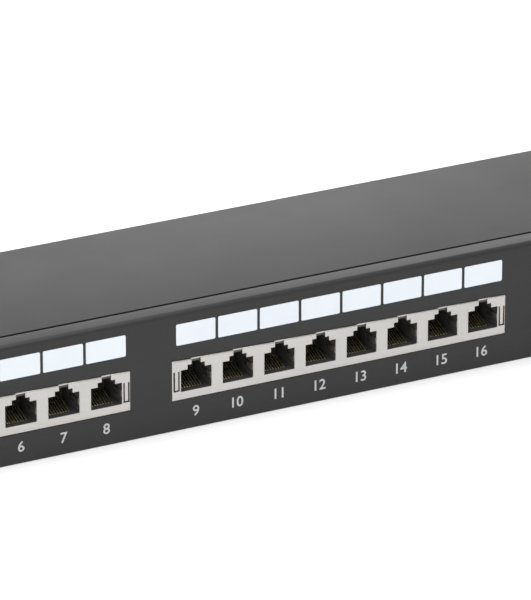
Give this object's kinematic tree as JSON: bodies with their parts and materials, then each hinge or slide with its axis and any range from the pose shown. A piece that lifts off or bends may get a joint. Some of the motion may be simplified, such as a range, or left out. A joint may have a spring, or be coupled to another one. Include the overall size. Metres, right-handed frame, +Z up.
{
  "type": "patch panel",
  "caption": "Shielded rack patch panel, one unit high, with ganged modular jacks, terminal blocks behind them and a lift-off top cover.",
  "frame": {"origin": "middle of the rack mounting plane: the front panel's rear face, halfway up it", "axes": "+X along the panel, to the right as seen from the front; +Y into the rack; +Z up"},
  "size_m": [0.4826, 0.1088, 0.044],
  "materials": {
    "black_powder_coat": "fine-textured satin powder coat on steel sheet",
    "label_film": "matte white write-on film",
    "nickel_shield": "nickel-plated, satin",
    "black_plastic": "moulded, matte",
    "gold_contact": "gold flash over bronze",
    "circuit_board": "green solder mask",
    "terminal_plastic": "moulded, satin white",
    "tinned_bronze": "tin-plated, satin",
    "clamp_sheet": "zinc-plated sheet",
    "zinc_steel": "bright zinc plate",
    "yellow_brass": "plain brass"
  },
  "bodies": {
    "chassis": {"front_panel": "black_powder_coat", "panel_nuts": "zinc_steel", "base_tray": "black_powder_coat", "port_labels_left": "label_film", "port_labels_middle": "label_film", "port_labels_right": "label_film", "jack_shield_left": "nickel_shield", "jack_shield_middle": "nickel_shield", "jack_shield_right": "nickel_shield", "jack_housings_left": "black_plastic", "jack_housings_middle": "black_plastic", "jack_housings_right": "black_plastic", "jack_contacts_left": "gold_contact", "jack_contacts_middle": "gold_contact", "jack_contacts_right": "gold_contact", "circuit_board_left": "circuit_board", "circuit_board_middle": "circuit_board", "circuit_board_right": "circuit_board", "board_standoffs": "zinc_steel", "board_screws": "zinc_steel", "idc_block_01": "terminal_plastic", "idc_block_02": "terminal_plastic", "idc_block_03": "terminal_plastic", "idc_block_04": "terminal_plastic", "idc_block_05": "terminal_plastic", "idc_block_06": "terminal_plastic", "idc_block_07": "terminal_plastic", "idc_block_08": "terminal_plastic", "idc_block_09": "terminal_plastic", "idc_block_10": "terminal_plastic", "idc_block_11": "terminal_plastic", "idc_block_12": "terminal_plastic", "idc_block_13": "terminal_plastic", "idc_block_14": "terminal_plastic", "idc_block_15": "terminal_plastic", "idc_block_16": "terminal_plastic", "idc_block_17": "terminal_plastic", "idc_block_18": "terminal_plastic", "idc_block_19": "terminal_plastic", "idc_block_20": "terminal_plastic", "idc_block_21": "terminal_plastic", "idc_block_22": "terminal_plastic", "idc_block_23": "terminal_plastic", "idc_block_24": "terminal_plastic", "idc_contacts_left": "tinned_bronze", "idc_contacts_middle": "tinned_bronze", "idc_contacts_right": "tinned_bronze", "shield_clamp_left": "clamp_sheet", "shield_clamp_middle": "clamp_sheet", "shield_clamp_right": "clamp_sheet", "clamp_rivets": "zinc_steel", "ground_stud": "zinc_steel", "ground_washer": "zinc_steel", "ground_nut": "yellow_brass"},
    "cover": {"top_cover": "black_powder_coat", "cover_screws": "zinc_steel"}
  },
  "joints": [
    {"name": "cover_slide", "type": "slide", "parent": "chassis", "child": "cover", "axis": [0, 1, 0], "range_m": [0, 0.11]}
  ]
}
